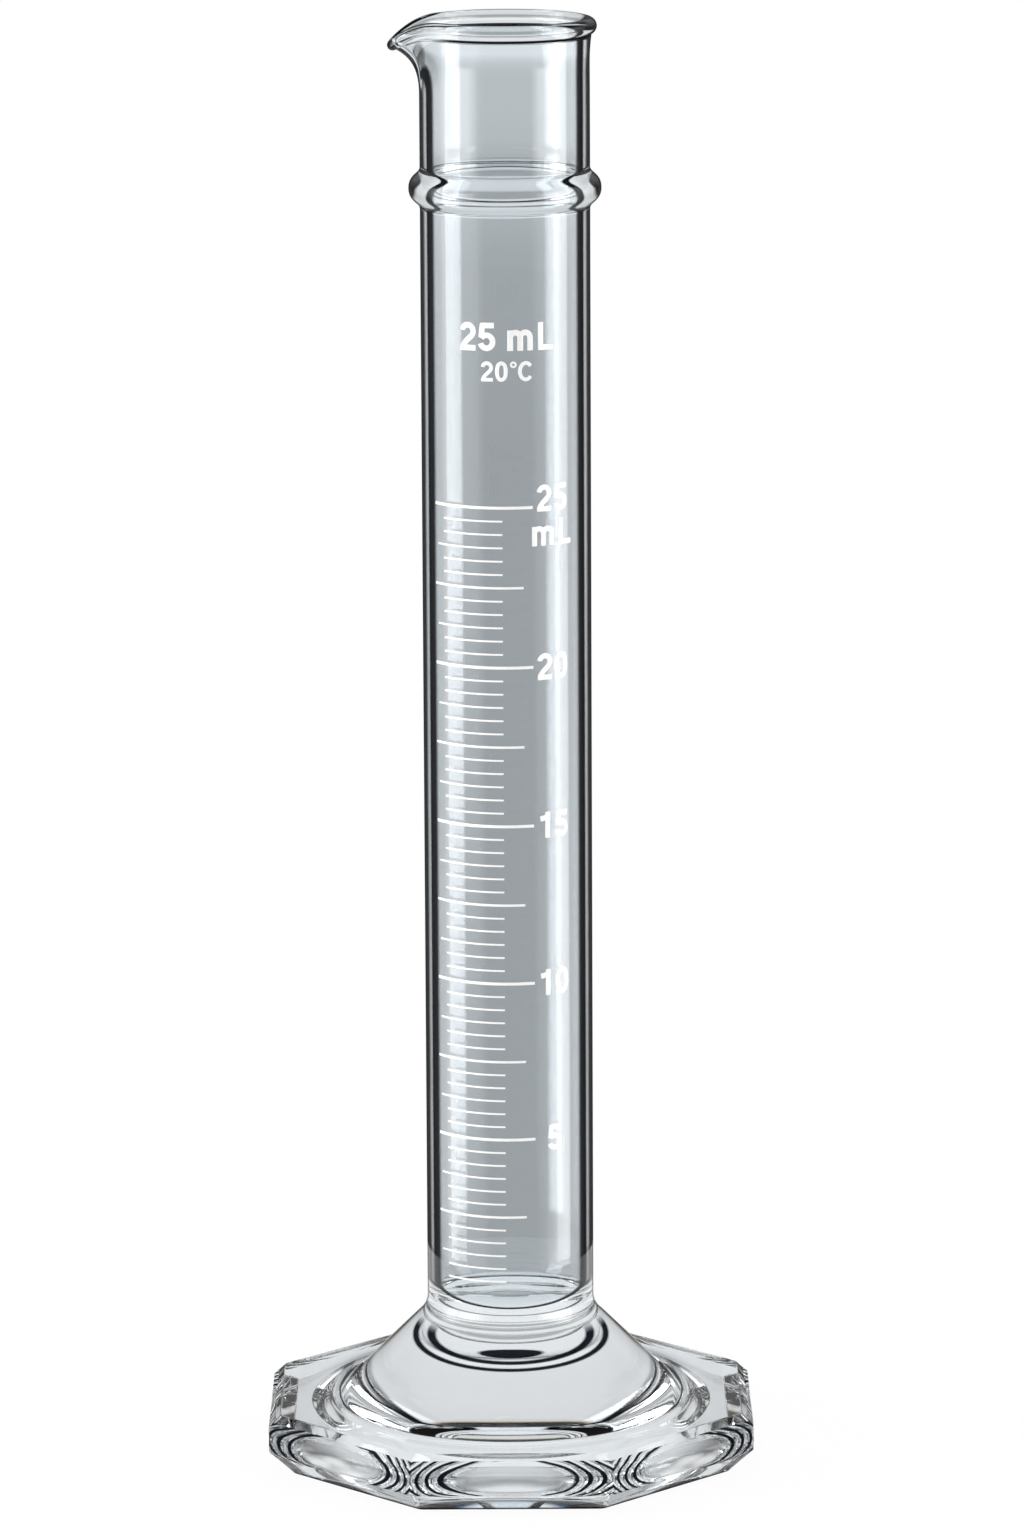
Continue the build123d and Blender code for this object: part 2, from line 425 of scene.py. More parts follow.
def fine_unevenness():
    """Node group: slow waves and fine grain from Object coordinates, as a mask for roughness and a height."""
    name = "fine_unevenness"
    if name in bpy.data.node_groups:
        return bpy.data.node_groups[name]
    tree = bpy.data.node_groups.new(name, "ShaderNodeTree")
    face = tree.interface
    face.new_socket("Wave Scale", in_out="INPUT", socket_type="NodeSocketFloat")
    face.new_socket("Grain Scale", in_out="INPUT", socket_type="NodeSocketFloat")
    face.new_socket("Grain Share", in_out="INPUT", socket_type="NodeSocketFloat")
    face.new_socket("Mask", in_out="OUTPUT", socket_type="NodeSocketFloat")
    face.new_socket("Height", in_out="OUTPUT", socket_type="NodeSocketFloat")
    nodes, links = tree.nodes, tree.links
    start, end = nodes.new("NodeGroupInput"), nodes.new("NodeGroupOutput")
    place = nodes.new("ShaderNodeTexCoord")
    waves = add_node(nodes, "ShaderNodeTexNoise", Detail=1.0, Roughness=0.4)
    grain = add_node(nodes, "ShaderNodeTexNoise", Detail=2.0, Roughness=0.6)
    mix = add_node(nodes, "ShaderNodeMix", data_type="FLOAT")
    links.new(place.outputs["Object"], waves.inputs["Vector"])
    links.new(place.outputs["Object"], grain.inputs["Vector"])
    links.new(start.outputs["Wave Scale"], waves.inputs["Scale"])
    links.new(start.outputs["Grain Scale"], grain.inputs["Scale"])
    links.new(start.outputs["Grain Share"], mix.inputs[0])
    links.new(waves.outputs["Fac"], mix.inputs[2])
    links.new(grain.outputs["Fac"], mix.inputs[3])
    links.new(mix.outputs[0], end.inputs["Height"])
    links.new(grain.outputs["Fac"], end.inputs["Mask"])
    return tree


def side_ripples_and_painted_arcs(nodes, links, parts, place, sizes):
    """The oval in each side of the foot and the arcs beside it: a wave from -1 to 1, its mask and the oval's own. The
    wave raises real ripples, and also marks arcs of painted shade beside the ovals.

    All follow sqrt(a^2 + u^2 / 2), where a and u are the ways across and up from the oval's middle as shares of
    its half width and half height, and a slow noise pulls them about.
    """
    calc = calculator(nodes, links)
    x, y, z = (parts.outputs[axis] for axis in "XYZ")
    span = 2 * np.pi / sizes.foot_sides
    turned = calc("ADD", calc("ARCTAN2", y, x), span / 2 + 2 * np.pi)
    off = calc("SUBTRACT", calc("FLOORED_MODULO", turned, span), span / 2)
    reach = calc("SQRT", calc("ADD", calc("MULTIPLY", x, x), calc("MULTIPLY", y, y)))
    depth = sizes.oval_depth + 0.1 * MM
    on_side = calc("GREATER_THAN", calc("MULTIPLY", reach, calc("COSINE", off)), sizes.foot_apothem - depth)
    across = calc("MULTIPLY", calc("TANGENT", off), sizes.foot_apothem / sizes.oval_half_width)
    middle = (sizes.foot_bottom_bevel + sizes.foot_thickness - sizes.foot_top_bevel) / 2
    up = calc("DIVIDE", calc("SUBTRACT", z, middle), sizes.oval_half_height)
    flat_up = calc("MULTIPLY", calc("MULTIPLY", up, up), 0.5)
    even = calc("SQRT", calc("ADD", calc("MULTIPLY", across, across), flat_up))
    drift = add_node(nodes, "ShaderNodeTexNoise", Scale=190.0, Detail=0.0)
    links.new(place.outputs["Object"], drift.inputs["Vector"])
    far = calc("ADD", even, calc("MULTIPLY_ADD", drift.outputs["Fac"], 0.34, -0.17))
    wave = calc("SINE", calc("MULTIPLY", calc("MULTIPLY", far, far), 11.5))
    beside = calc("MULTIPLY", on_side, stepped(nodes, links, even, 0.95, 1.02))
    oval = calc("MULTIPLY", on_side, stepped(nodes, links, even, 1.0, 0.8))
    return wave, beside, oval


def painted_neck_arcs(nodes, links, parts, facing):
    """Painted shade in arcs low on the neck, in place of what its curve does to the view: a lens, with two arcs
    hanging round it.

    Each follows sqrt(f + h^2), where f grows as the neck turns away and h with the height over its middle.
    """
    calc = calculator(nodes, links)
    z = parts.outputs["Z"]
    away = calc("MAXIMUM", calc("SUBTRACT", facing, 0.125), 0.0)

    def size(width, middle, half_height):
        up = calc("DIVIDE", calc("SUBTRACT", z, middle), half_height)
        return calc("SQRT", calc("ADD", calc("DIVIDE", away, width), calc("MULTIPLY", up, up)))

    ramp = nodes.new("ShaderNodeValToRGB")
    curve_points(
        ramp.color_ramp,
        [(0.64, 0), (0.67, 1), (0.74, 1), (0.77, 0), (0.84, 0), (0.87, 1), (0.93, 1), (0.96, 0)],
    )
    links.new(calc("MULTIPLY", size(0.5, 17.0 * MM, 3.2 * MM), 0.9), ramp.inputs["Fac"])
    hanging = calc("MULTIPLY", ramp.outputs["Color"], stepped(nodes, links, z, 17.6 * MM, 16.4 * MM))
    lens = stepped(nodes, links, size(0.045, 15.4 * MM, 0.5 * MM), 1.0, 0.8)
    return calc("MAXIMUM", hanging, lens)


def painted_edge_lines(nodes, links, parts, outside, sizes):
    """Painted shade: dark lines where the bead meets the tube, as far as the spout, and round the foot's lowest edge.
    """
    calc = calculator(nodes, links)
    x, y, z = (parts.outputs[axis] for axis in "XYZ")
    seat = sizes.rim_height - 0.92 * sizes.bead_radius
    off_seat = calc("ABSOLUTE", calc("SUBTRACT", z, seat))
    under_bead = calc("MULTIPLY", stepped(nodes, links, off_seat, 0.2 * MM, 0.1 * MM), stepped(nodes, links, x, -8.5 * MM, -6 * MM))
    reach = calc("SQRT", calc("ADD", calc("MULTIPLY", x, x), calc("MULTIPLY", y, y)))
    outer = calc("MULTIPLY", calc("GREATER_THAN", reach, sizes.hollow_radius + 1.5 * MM), outside)
    lowest = calc("MULTIPLY", stepped(nodes, links, z, 0.45 * MM, 0.15 * MM), outer)
    return calc("MAXIMUM", under_bead, lowest)


def glass_material(finish):
    """Clear glass: faintly grey-blue, with painted shade, a near-black share mixed in where it is seen edge on, in
    arcs on the neck and beside the foot's ovals, and in lines under the bead and round the foot's lowest edge; with
    slow waves left by the drawing.
    """
    made, nodes, links, shader = new_material("clear_glass")
    calc = calculator(nodes, links)
    sizes = bpy.context.scene.cylinder_glass
    shader.inputs["Base Color"].default_value = (*finish.glass_tint, 1)
    shader.inputs["IOR"].default_value = finish.glass_ior
    shader.inputs["Transmission Weight"].default_value = 1.0
    facing = add_node(nodes, "ShaderNodeLayerWeight", Blend=0.5).outputs["Facing"]
    inside = nodes.new("ShaderNodeNewGeometry").outputs["Backfacing"]
    place = nodes.new("ShaderNodeTexCoord")
    parts = nodes.new("ShaderNodeSeparateXYZ")
    links.new(place.outputs["Object"], parts.inputs[0])

    def by_facing(*stops):
        ramp = nodes.new("ShaderNodeValToRGB")
        curve_points(ramp.color_ramp, stops)
        links.new(facing, ramp.inputs["Fac"])
        return ramp.outputs["Color"]

    # Rims: painted shade, a near-black share that grows where the glass is seen near grazing from the air, and from
    # inside near the angle where light stays in
    painted_shade_from_air = by_facing((0.0, 0), (0.79, 0), (0.86, 0.6), (1.0, 0.6))
    painted_shade_from_inside = by_facing((0.0, 0), (0.225, 0), (0.243, 1), (0.285, 1), (0.30, 0), (1.0, 0))
    choice = add_node(nodes, "ShaderNodeMix", data_type="FLOAT")
    links.new(inside, choice.inputs[0])
    links.new(painted_shade_from_air, choice.inputs[2])
    links.new(painted_shade_from_inside, choice.inputs[3])
    # The painted rim shade is fainter on the broad flat foot, which is seen at a low angle
    above = stepped(nodes, links, parts.outputs["Z"], 0.0075, 0.016)
    rims = calc("MULTIPLY", choice.outputs[0], calc("MULTIPLY_ADD", above, 1 - finish.foot_painted_rim_shade, finish.foot_painted_rim_shade))
    wave, beside, oval = side_ripples_and_painted_arcs(nodes, links, parts, place, sizes)
    links.new(calc("MULTIPLY", oval, finish.oval_haze), shader.inputs["Roughness"])
    # Painted shade: dark arcs beside the ovals where the ripple's wave is high
    arcs = calc("MULTIPLY", stepped(nodes, links, wave, 0.25, 0.6), beside)
    outside = calc("SUBTRACT", 1.0, inside)
    # Painted shade: the neck's dark lens and arcs, on its outside only
    neck = calc("MULTIPLY", painted_neck_arcs(nodes, links, parts, facing), outside)
    # Painted shade: dark lines under the bead and round the foot's lowest edge
    lines = painted_edge_lines(nodes, links, parts, outside, sizes)
    # All the painted dark arcs and lines, scaled by how dark they are painted
    painted_arcs_and_lines = calc("MULTIPLY", calc("MAXIMUM", calc("MAXIMUM", arcs, neck), lines), finish.painted_arc_strength)
    # Share of painted shade: the larger of the painted rims and the painted arcs and lines
    share = calc("MAXIMUM", rims, painted_arcs_and_lines)
    # A near-black diffuse that all the painted shade of rims, arcs and lines is mixed in from
    dark = add_node(nodes, "ShaderNodeBsdfDiffuse", Color=(0.004, 0.006, 0.01, 1))
    rim = nodes.new("ShaderNodeMixShader")
    links.new(share, rim.inputs[0])
    links.new(shader.outputs[0], rim.inputs[1])
    links.new(dark.outputs[0], rim.inputs[2])
    links.new(rim.outputs[0], nodes["Material Output"].inputs[0])
    uneven = nodes.new("ShaderNodeGroup")
    uneven.node_tree = fine_unevenness()
    uneven.inputs["Wave Scale"].default_value = 60.0
    uneven.inputs["Grain Scale"].default_value = 240.0
    uneven.inputs["Grain Share"].default_value = 0.12
    ripple = add_node(nodes, "ShaderNodeBump", Strength=1.0, Distance=finish.ripple_depth)
    links.new(calc("MULTIPLY", wave, beside), ripple.inputs["Height"])
    bump = add_node(nodes, "ShaderNodeBump", Strength=finish.glass_waves, Distance=0.0002)
    links.new(uneven.outputs["Height"], bump.inputs["Height"])
    links.new(ripple.outputs["Normal"], bump.inputs["Normal"])
    links.new(bump.outputs["Normal"], shader.inputs["Normal"])
    return made


def enamel_material(finish):
    """Fired white enamel: opaque, satin, slightly uneven where it was laid on."""
    made, nodes, links, shader = new_material("fired_enamel")
    uneven = nodes.new("ShaderNodeGroup")
    uneven.node_tree = fine_unevenness()
    uneven.inputs["Wave Scale"].default_value = 900.0
    uneven.inputs["Grain Scale"].default_value = 5200.0
    uneven.inputs["Grain Share"].default_value = 0.5
    shade = nodes.new("ShaderNodeValToRGB")
    white = np.array(finish.enamel_colour)
    curve_points(shade.color_ramp, [(0.3, tuple(white * 0.93)), (0.6, tuple(white))])
    rough = add_node(nodes, "ShaderNodeMapRange")
    rough.inputs["To Min"].default_value = 0.25
    rough.inputs["To Max"].default_value = 0.5
    bump = add_node(nodes, "ShaderNodeBump", Strength=0.3, Distance=0.00002)
    links.new(uneven.outputs["Height"], shade.inputs["Fac"])
    links.new(uneven.outputs["Mask"], rough.inputs["Value"])
    links.new(uneven.outputs["Height"], bump.inputs["Height"])
    links.new(shade.outputs["Color"], shader.inputs["Base Color"])
    links.new(rough.outputs["Result"], shader.inputs["Roughness"])
    links.new(bump.outputs["Normal"], shader.inputs["Normal"])
    return made


def material(name, maker):
    """The material of that name, made once by its maker from the scene's finishes."""
    return bpy.data.materials.get(name) or maker(bpy.context.scene.cylinder_finish)


# ---------------------------------------------------------------- settings


def length(label, about, value):
    return bpy.props.FloatProperty(name=label, description=about, default=value, unit="LENGTH", precision=5)


def number(label, about, value):
    return bpy.props.FloatProperty(name=label, description=about, default=value)


class CYLINDER_PG_glass(bpy.types.PropertyGroup):
    """Sizes of the glass body."""

    foot_apothem: length("Foot apothem", "From the axis to a flat side of the foot", 29.3 * MM)
    foot_sides: bpy.props.IntProperty(name="Foot sides", description="Number of sides of the foot", default=8)
    columns_per_side: bpy.props.IntProperty(name="Columns", description="Columns of the mesh per side", default=48)
    foot_thickness: length("Foot thickness", "Height of the slab under the dome", 7.5 * MM)
    foot_corner_radius: length("Corner radius", "Rounding of the foot's upright corners", 1.2 * MM)
    foot_top_bevel: length("Top bevel", "Bevel round the top of the slab", 1.4 * MM)
    foot_bottom_bevel: length("Bottom bevel", "Bevel round the bottom of the slab", 3.0 * MM)
    edge_radius: length("Edge radius", "Rounding of the slab's edges", 0.35 * MM)
    oval_half_width: length("Oval half width", "Half the width of the oval in each side", 7.7 * MM)
    oval_half_height: length("Oval half height", "Half the height of the oval in each side", 1.6 * MM)
    oval_depth: length("Oval depth", "Depth of the oval in each side", 0.5 * MM)
    oval_power: number("Oval power", "How flat the oval's edge is", 1.0)
    ceiling_radius: length("Ceiling radius", "Radius of the hollow's flat ceiling", 20.5 * MM)
    hollow_radius: length("Hollow radius", "Radius of the hollow under the foot", 24.0 * MM)
    hollow_depth: length("Hollow depth", "Depth of the hollow under the foot", 3.4 * MM)
    hollow_blend: length("Hollow blend", "Rounding between the hollow's ceiling and wall", 3.0 * MM)
    dome_height: length("Dome height", "Height of the dome over the slab", 10.7 * MM)
    dome_set_back: length("Dome set-back", "From the foot's side to the foot of the dome's slope", 8.5 * MM)
    dome_blend: length("Dome blend", "Radius between the dome's slope and the slab", 11.3 * MM)
    neck_blend: length("Neck blend", "Radius between the dome and the tube", 3.5 * MM)
    tube_radius: length("Tube radius", "Outer radius of the tube", TUBE_RADIUS)
    wall: length("Wall", "Thickness of the tube's wall", 1.15 * MM)
    floor_height: length("Floor height", "Height of the bore's floor", 18.35 * MM)
    floor_corner_radius: length("Floor corner", "Rounding between the bore's wall and floor", 3.5 * MM)
    ring_height: length("Ring height", "Height of the guard ring's crest", 154.954 * MM)
    ring_half_width: length("Ring half width", "Half the guard ring's width along the tube", 2.5 * MM)
    ring_projection: length("Ring projection", "How far the guard ring stands out", 1.35 * MM)
    ring_fullness: length("Ring fullness", "How full the guard ring's section is", 1.6 * MM)
    lip_start: length("Lip start", "Height where the lip begins to flare", 166.104 * MM)
    rim_height: length("Rim height", "Height of the centre of the rolled bead", 174.104 * MM)
    bead_radius: length("Bead radius", "Radius of the rolled bead", 1.0 * MM)
    spout_bead_radius: length("Spout bead radius", "Radius of the bead at the spout's tip", 0.65 * MM)
    spout_reach: length("Spout reach", "How far the spout stands out", 3.25 * MM)
    spout_tip_radius: length("Spout tip radius", "Radius of the spout's tip from above", 1.6 * MM)
    spout_dip: length("Spout dip", "How far the spout's tip dips", 2.2 * MM)
    dip_set_back: length("Dip set-back", "Where the dip starts, inwards from the tube's wall", 2.1 * MM)
    spout_lean: bpy.props.FloatProperty(
        name="Spout lean", description="How far the spout's lip leans out", default=np.pi / 3, subtype="ANGLE"
    )
    spout_lean_growth: number("Lean growth", "How the lean grows along the reach", 0.7)
    spout_rise: number("Spout rise", "Share of the wall that rises straight", 0.62)
    spout_pull: number("Spout pull", "Share of the wall that follows the lean", 0.33)
    spout_flare: length("Flare", "How far the outer wall draws in under the bead", 0.3 * MM)


class CYLINDER_PG_print(bpy.types.PropertyGroup):
    """Sizes of the fired print."""

    top_line: length("Top line", "Height of the line of the full volume", 118.104 * MM)
    line_spacing: length("Line spacing", "Height from one line to the next", 1.602 * MM)
    enamel_proud: length("Enamel thickness", "How far the enamel stands out of the tube", 0.04 * MM)
    enamel_sunk: length("Enamel bite", "How far the enamel is fired into the tube", 0.012 * MM)
    numeral_height: length("Numeral height", "Height of the numerals", 3.15 * MM)
    numeral_place: length("Numeral place", "Way round the tube from the front to the numerals", 5.75 * MM)
    stroke_weight: number("Stroke weight", "Width of a stroke as a share of the numeral's height", 0.205)


class CYLINDER_PG_finish(bpy.types.PropertyGroup):
    """Colours and finish of glass and enamel."""

    glass_tint: bpy.props.FloatVectorProperty(
        name="Glass tint", description="Colour that the glass lets through", subtype="COLOR", size=3,
        default=(0.866, 0.905, 0.93), min=0, max=1,
    )
    glass_ior: number("Glass IOR", "Refractive index of the glass", 1.474)
    glass_waves: number("Glass waves", "Strength of the glass's slow waves", 0.12)
    # Strength of the painted rim shade on the foot, against that on the tube
    foot_painted_rim_shade: number("Foot rims", "How dark the rims of the foot are against those of the tube", 0.12)
    # Strength of the painted dark arcs and lines of the neck, the foot's sides, the bead and the foot's edge
    painted_arc_strength: number("Arcs", "How dark the arcs of the neck and of the foot's sides are", 0.99)
    oval_haze: number("Oval haze", "Roughness of the ovals in the foot's sides", 0.3)
    ripple_depth: length("Ripple depth", "Depth of the ripples beside the ovals", 0.12 * MM)
    enamel_colour: bpy.props.FloatVectorProperty(
        name="Enamel", description="Colour of the enamel", subtype="COLOR", size=3, default=(0.93, 0.93, 0.92), min=0, max=1
    )


class CYLINDER_PG_stage(bpy.types.PropertyGroup):
    """Table, light and camera."""

    table_radius: length("Table radius", "Radius of the pale table top", 0.1)
    room_light: number("Room light", "Even light of the studio on everything that isn't glass", 0.78)
    strip_strength: number("Strip strength", "Brightness of the tall strips that the glass mirrors", 6.0)
    camera_distance: length("Camera distance", "From the axis to the camera", 0.9)
    camera_height: length("Camera height", "Height of the camera", 0.26566)
    camera_lens: number("Camera lens", "Focal length in millimetres", 178.87)


# ---------------------------------------------------------------- operators


def finish_piece(piece, maker, name, slot, *nodes):
    """Gives a piece its material, lets it ride on the body and stand for its nodes."""
    piece.data.materials.append(material(name, maker))
    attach(piece, "root")
    if nodes:
        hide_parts(*nodes)


class CYLINDER_OT_glass(bpy.types.Operator):
    """Build the glass body: foot, dome, tube, guard ring, lip and spout"""

    bl_idname = "cylinder.glass"
    bl_label = "Glass body"

    def execute(self, context):
        sizes = context.scene.cylinder_glass
        rows = glass_surface(sizes)
        body = closed_surface("glass_cylinder", rows, (0, 0, sizes.hollow_depth), (0, 0, sizes.floor_height))
        finish_piece(body, glass_material, "clear_glass", "glass", "glass_body")
        return {"FINISHED"}


class CYLINDER_OT_lines(bpy.types.Operator):
    """Build the lines of the scale, one piece for each length of line"""

    bl_idname = "cylinder.lines"
    bl_label = "Scale lines"

    def execute(self, context):
        sizes = context.scene.cylinder_print
        kinds = {
            "long": ([0], -56.0, 17.8, 0.36),
            "half": ([6], -56.0, 11.4, 0.29),
            "quarter": ([3, 9], -53.1, -2.8, 0.22),
            "short": ([1, 2, 4, 5, 7, 8, 10, 11], -47.1, -2.8, 0.22),
        }
        for kind, (steps, start, end, thickness) in kinds.items():
            paths = []
            for number_below in range(5):
                for step in steps:
                    height = sizes.top_line - (number_below * 12 + step) * sizes.line_spacing
                    way = np.radians(np.linspace(start, end, 40)) * TUBE_RADIUS
                    paths.append((np.stack((way, np.full_like(way, height)), axis=1), thickness * MM))
            piece = wrapped_strips(f"{kind}_lines", paths, TUBE_RADIUS, sizes.enamel_proud, sizes.enamel_sunk)
            finish_piece(piece, enamel_material, "fired_enamel", "enamel", f"{kind}_graduations")
        return {"FINISHED"}


class CYLINDER_OT_numerals(bpy.types.Operator):
    """Build the numerals of the scale and its unit"""

    bl_idname = "cylinder.numerals"
    bl_label = "Numerals"

    def execute(self, context):
        s = context.scene.cylinder_print
        strokes = []
        for place, word in enumerate(("25", "20", "15", "10", "5")):
            height = s.top_line - place * 12 * s.line_spacing + (1.05 * MM if place == 0 else 0)
            strokes += word_strokes(word, (s.numeral_place, height), s.numeral_height, s.stroke_weight)
        strokes += word_strokes("mL", (s.numeral_place, s.top_line - 3.1 * MM), s.numeral_height, s.stroke_weight)
        piece = wrapped_strips("scale_numerals", strokes, TUBE_RADIUS, s.enamel_proud, s.enamel_sunk)
        finish_piece(piece, enamel_material, "fired_enamel", "enamel")
        return {"FINISHED"}


class CYLINDER_OT_header(bpy.types.Operator):
    """Build the marks over the scale: volume and temperature"""

    bl_idname = "cylinder.header"
    bl_label = "Volume and temperature"

    def execute(self, context):
        s = context.scene.cylinder_print
        strokes = word_strokes("25 mL", (0.1 * MM, 138.5 * MM), 3.3 * MM, s.stroke_weight)
        strokes += word_strokes("20oC", (0.1 * MM, 134.4 * MM), 2.4 * MM, s.stroke_weight * 0.9)
        piece = wrapped_strips("volume_marks", strokes, TUBE_RADIUS, s.enamel_proud, s.enamel_sunk)
        finish_piece(piece, enamel_material, "fired_enamel", "enamel")
        return {"FINISHED"}


def studio_world():
    """World: white to the camera, and a studio of graded panels to what the glass mirrors and lets through.

    Each tone follows the height of a direction over the table, or its bearing from the front, left of it positive.
    """
    world = bpy.data.worlds.new("studio")
    bpy.context.scene.world = world
    world.use_nodes = True
    nodes, links = world.node_tree.nodes, world.node_tree.links
    calc = calculator(nodes, links)
    place = nodes.new("ShaderNodeTexCoord")
    parts = nodes.new("ShaderNodeSeparateXYZ")
    links.new(place.outputs["Generated"], parts.inputs[0])
    # From straight down to straight up, and once round from the back by the front to the back, as 0 to 1
    height = calc("MULTIPLY_ADD", parts.outputs["Z"], 0.5, 0.5)
    behind = calc("ARCTAN2", parts.outputs["X"], parts.outputs["Y"])
    bearing = calc("FRACT", calc("MULTIPLY_ADD", behind, 0.5 / np.pi, 1.0))

    def ramp(value, stops):
        made = nodes.new("ShaderNodeValToRGB")
        curve_points(made.color_ramp, stops)
        links.new(value, made.inputs["Fac"])
        return made.outputs["Color"]

    def by_height(*stops):
        return ramp(height, [((np.sin(np.radians(e)) + 1) / 2, tone) for e, tone in stops])

    def by_bearing(*stops):
        return ramp(bearing, [((180 - b) / 360, tone) for b, tone in reversed(stops)])

    def blend(kind, share, first, second):
        made = add_node(nodes, "ShaderNodeMix", data_type="RGBA", blend_type=kind)
        for socket, value in ((made.inputs[0], share), (made.inputs[6], first), (made.inputs[7], second)):
            if isinstance(value, bpy.types.NodeSocket):
                links.new(value, socket)
            elif socket.type == "VALUE":
                socket.default_value = value
            else:
                socket.default_value = (value, value, value, 1)
        return made.outputs[2]

    cool, warm = (0.06, 0.11, 0.2), (0.5, 0.42, 0.3)
    backdrop = by_height(
        (-60, 0.9), (-22, 0.8), (-17, 0.44), (-9, 0.43), (-7.4, 0.48), (-6.9, 0.6), (-5.4, 0.72), (-3, 0.95), (3, 0.95), (6, 0.84), (24, 0.8), (29, warm), (32, 0.02),
        (50, 0.02), (53, cool), (58, 0.9), (70, 0.95)
    )
    low = by_height((-35, 0), (-24, 1), (4, 1), (10, 0))
    # Beside the backdrop's middle its foot is brighter
    sides = by_bearing(
        (-180, 0), (-168, 0), (-158, 0.8), (-130, 0.8), (-115, 1), (-60, 1), (-40, 0.5), (40, 0.5), (60, 1), (115, 1),
        (130, 0.8), (158, 0.8), (168, 0), (180, 0)
    )
    through = blend("LIGHTEN", low, backdrop, sides)
    around = by_height((-40, 0.6), (-20, 0.12), (0, 0.12), (20, 0.5), (30, 0.1))
    # Two tall strips and a fainter panel between them and the camera
    strips = by_bearing(
        (-130, 0), (-108, 0.05), (-99, 0.3), (-92, 0.72), (-83, 0.75), (-74, 0.42), (-62, 0.25), (-38, 0.18), (-28, 0),
        (36, 0), (50, 0.12), (62, 0.5), (70, 0.9), (76, 1), (86, 1), (94, 0.28), (110, 0.08), (125, 0)
    )
    tall = by_height((-50, 0), (-38, 1), (22, 1), (34, 0))
    # Above the guard ring the glass mirrors a wider pair of panels as well
    wide = by_bearing((-78, 0), (-64, 0.8), (-52, 0.8), (-36, 0), (36, 0), (48, 0.7), (66, 0.7), (80, 0))
    high = by_height((-7.4, 0), (-6.9, 1), (12, 1), (20, 0))
    strips = blend("ADD", 1.0, strips, blend("MULTIPLY", 1.0, wide, high))
    strength = bpy.context.scene.cylinder_stage.strip_strength
    mirrored = blend("ADD", 1.0, around, blend("MULTIPLY", 1.0, blend("MULTIPLY", 1.0, strips, tall), strength))
    path = nodes.new("ShaderNodeLightPath")
    # A ray let through glass counts as glossy too, so that choice comes after the glossy one
    seen = blend("MIX", path.outputs["Is Glossy Ray"], bpy.context.scene.cylinder_stage.room_light, mirrored)
    seen = blend("MIX", path.outputs["Is Transmission Ray"], seen, through)
    seen = blend("MIX", path.outputs["Is Camera Ray"], seen, 1.0)
    links.new(seen, nodes["Background"].inputs["Color"])


def table_material():
    """Pale table top: near white to the camera with a faint shadow; to glass, a painted pool of light, pale near the
    axis and grey farther out.
    """
    made, nodes, links, shader = new_material("pale_table")
    shader.inputs["Roughness"].default_value = 0.9
    shader.inputs["Base Color"].default_value = (0.8, 0.8, 0.8, 1)
    shader.inputs["Specular IOR Level"].default_value = 0.0
    glow = add_node(nodes, "ShaderNodeEmission", Strength=1.0)
    place = nodes.new("ShaderNodeTexCoord")
    away = add_node(nodes, "ShaderNodeVectorMath", operation="LENGTH")
    links.new(place.outputs["Object"], away.inputs[0])
    # Painted pool of light, seen only through glass: pale within 35 mm of the axis, grey beyond 39 mm
    painted_light_pool = nodes.new("ShaderNodeValToRGB")
    curve_points(painted_light_pool.color_ramp, [(0.0, 0.95), (0.035, 0.95), (0.039, 0.46)])
    links.new(away.outputs["Value"], painted_light_pool.inputs["Fac"])
    path = nodes.new("ShaderNodeLightPath")
    tone = add_node(nodes, "ShaderNodeMix", data_type="RGBA")
    links.new(path.outputs["Is Camera Ray"], tone.inputs[0])
    links.new(painted_light_pool.outputs["Color"], tone.inputs[6])
    tone.inputs[7].default_value = (1, 1, 1, 1)
    links.new(tone.outputs[2], glow.inputs["Color"])
    share = add_node(nodes, "ShaderNodeMath", operation="MAXIMUM")
    scaled = add_node(nodes, "ShaderNodeMath", operation="MULTIPLY")
    scaled.inputs[1].default_value = 0.95
    mix = nodes.new("ShaderNodeMixShader")
    links.new(path.outputs["Is Camera Ray"], share.inputs[0])
    links.new(path.outputs["Is Transmission Ray"], share.inputs[1])
    links.new(share.outputs[0], scaled.inputs[0])
    links.new(scaled.outputs[0], mix.inputs[0])
    links.new(shader.outputs[0], mix.inputs[1])
    links.new(glow.outputs[0], mix.inputs[2])
    links.new(mix.outputs[0], nodes["Material Output"].inputs[0])
    return made


def softbox(name, place, target, width, height, strength):
    """A soft lamp at a place, facing a target, hidden from the camera."""
    lamp = bpy.data.lights.new(name, "AREA")
    lamp.shape = "RECTANGLE"
    lamp.size, lamp.size_y = width, height
    lamp.energy = strength * np.pi * width * height
    made = bpy.data.objects.new(name, lamp)
    bpy.context.scene.collection.objects.link(made)
    made.location = place
    made.rotation_euler = (Vector(target) - Vector(place)).to_track_quat("-Z", "Y").to_euler()
    made.visible_camera = made.visible_glossy = False
    return made


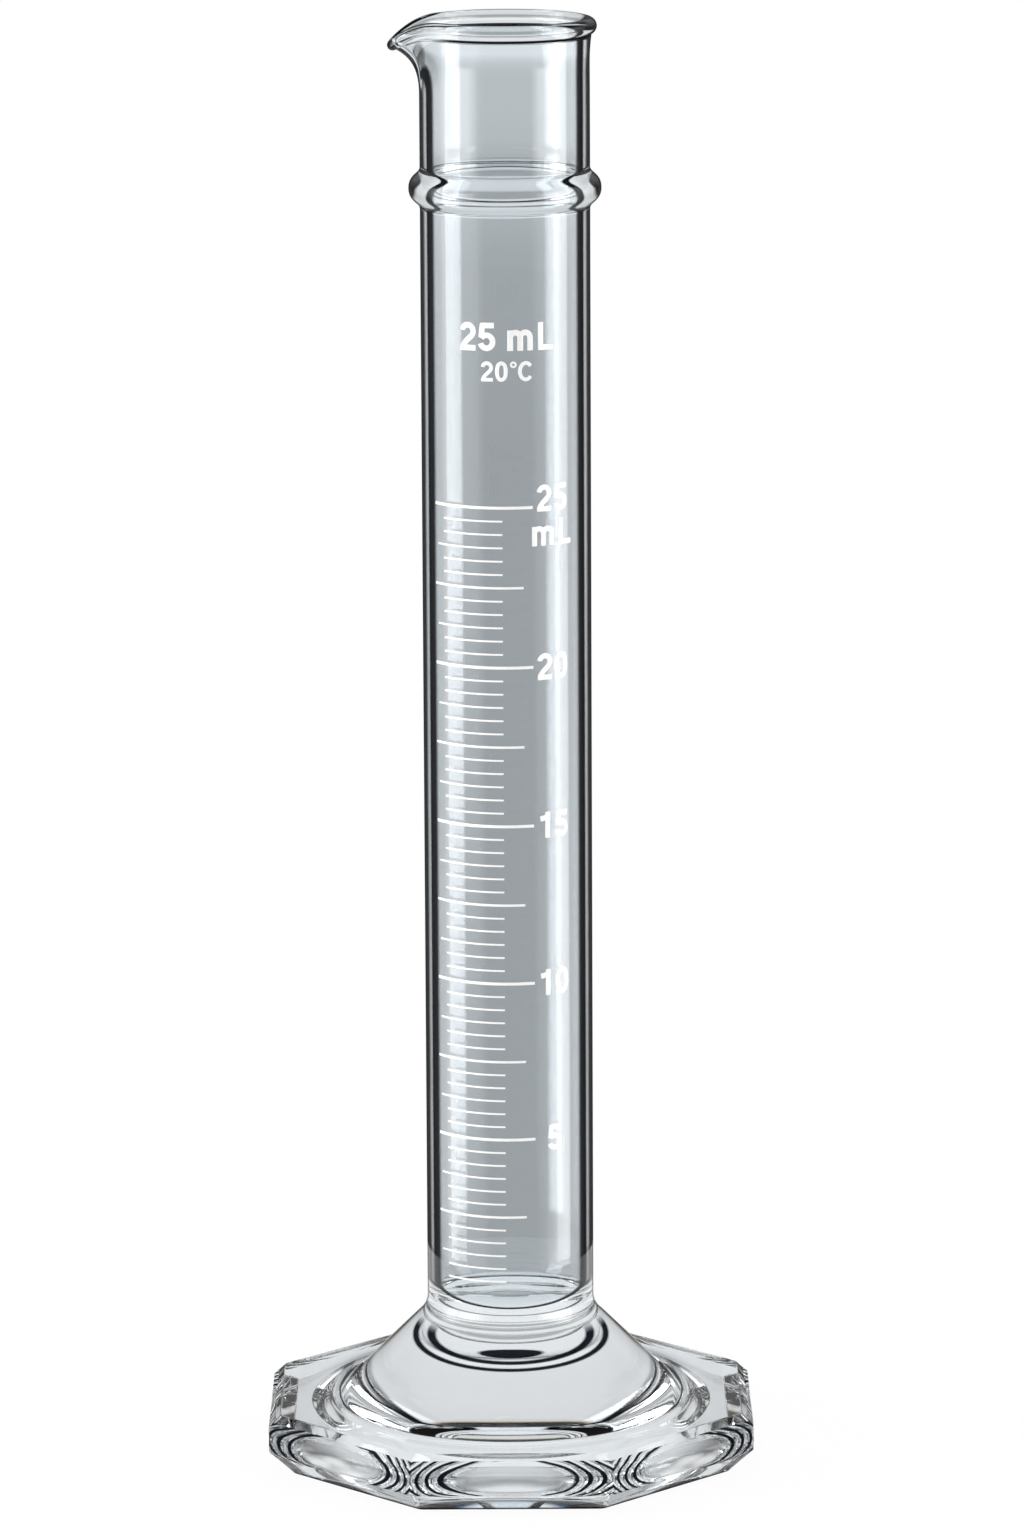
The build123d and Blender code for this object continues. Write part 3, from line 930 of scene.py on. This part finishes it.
class CYLINDER_OT_stage(bpy.types.Operator):
    """Build the stage: a pale table top, the studio around it, its lamps and the camera"""

    bl_idname = "cylinder.stage"
    bl_label = "Stage"

    def execute(self, context):
        s = context.scene.cylinder_stage
        turn = np.linspace(0, 2 * np.pi, 97)[:-1]
        rim = np.stack((s.table_radius * np.cos(turn), s.table_radius * np.sin(turn), 0 * turn), axis=1)
        mesh = bpy.data.meshes.new("table_top")
        mesh.from_pydata((rim - (0, 0, 0.00002)).tolist(), [], [list(range(len(turn)))])
        table = add_object("table_top", mesh)
        table.data.materials.append(table_material())
        studio_world()
        softbox("left_strip", (-0.35, -0.05, 0.02), (0, 0, 0.05), 0.18, 0.5, 5.0)
        softbox("right_strip", (0.36, -0.02, 0.02), (0, 0, 0.05), 0.16, 0.5, 3.0)
        softbox("top_panel", (0.0, -0.2, 0.9), (0, 0, 0.1), 1.8, 1.2, 0.8)
        data = bpy.data.cameras.new("camera")
        data.lens = s.camera_lens
        data.clip_start, data.clip_end = 0.01, 50
        camera = bpy.data.objects.new("camera", data)
        context.scene.collection.objects.link(camera)
        camera.location = (0.494 * MM, -s.camera_distance, s.camera_height)
        tilt = Euler((np.radians(90 - 11.364), 0, 0)).to_matrix()
        camera.rotation_euler = (tilt @ Euler((0, 0, -0.005)).to_matrix()).to_euler()
        context.scene.camera = camera
        context.scene.view_settings.view_transform = "Standard"
        return {"FINISHED"}


OPERATORS = (CYLINDER_OT_glass, CYLINDER_OT_lines, CYLINDER_OT_numerals, CYLINDER_OT_header, CYLINDER_OT_stage)


class CYLINDER_PT_sidebar(bpy.types.Panel):
    """Sidebar panel with a button for each piece"""

    bl_idname = "CYLINDER_PT_sidebar"
    bl_label = "Graduated cylinder"
    bl_space_type = "VIEW_3D"
    bl_region_type = "UI"
    bl_category = "Cylinder"

    def draw(self, context):
        for operator in OPERATORS:
            self.layout.operator(operator.bl_idname)
        for settings in GROUPS:
            group = getattr(context.scene, settings)
            for key in group.__annotations__:
                self.layout.prop(group, key)


GROUPS = {
    "cylinder_glass": CYLINDER_PG_glass,
    "cylinder_print": CYLINDER_PG_print,
    "cylinder_finish": CYLINDER_PG_finish,
    "cylinder_stage": CYLINDER_PG_stage,
}
CLASSES = (*GROUPS.values(), *OPERATORS, CYLINDER_PT_sidebar)


def register():
    for made in CLASSES:
        bpy.utils.register_class(made)
    for key, group in GROUPS.items():
        setattr(bpy.types.Scene, key, bpy.props.PointerProperty(type=group))


def unregister():
    for key in GROUPS:
        delattr(bpy.types.Scene, key)
    for made in reversed(CLASSES):
        bpy.utils.unregister_class(made)


def main():
    """Registers the classes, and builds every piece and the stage."""
    register()
    for operator in OPERATORS:
        group, call = operator.bl_idname.split(".")
        getattr(getattr(bpy.ops, group), call)()


if __name__ == "__main__":
    main()
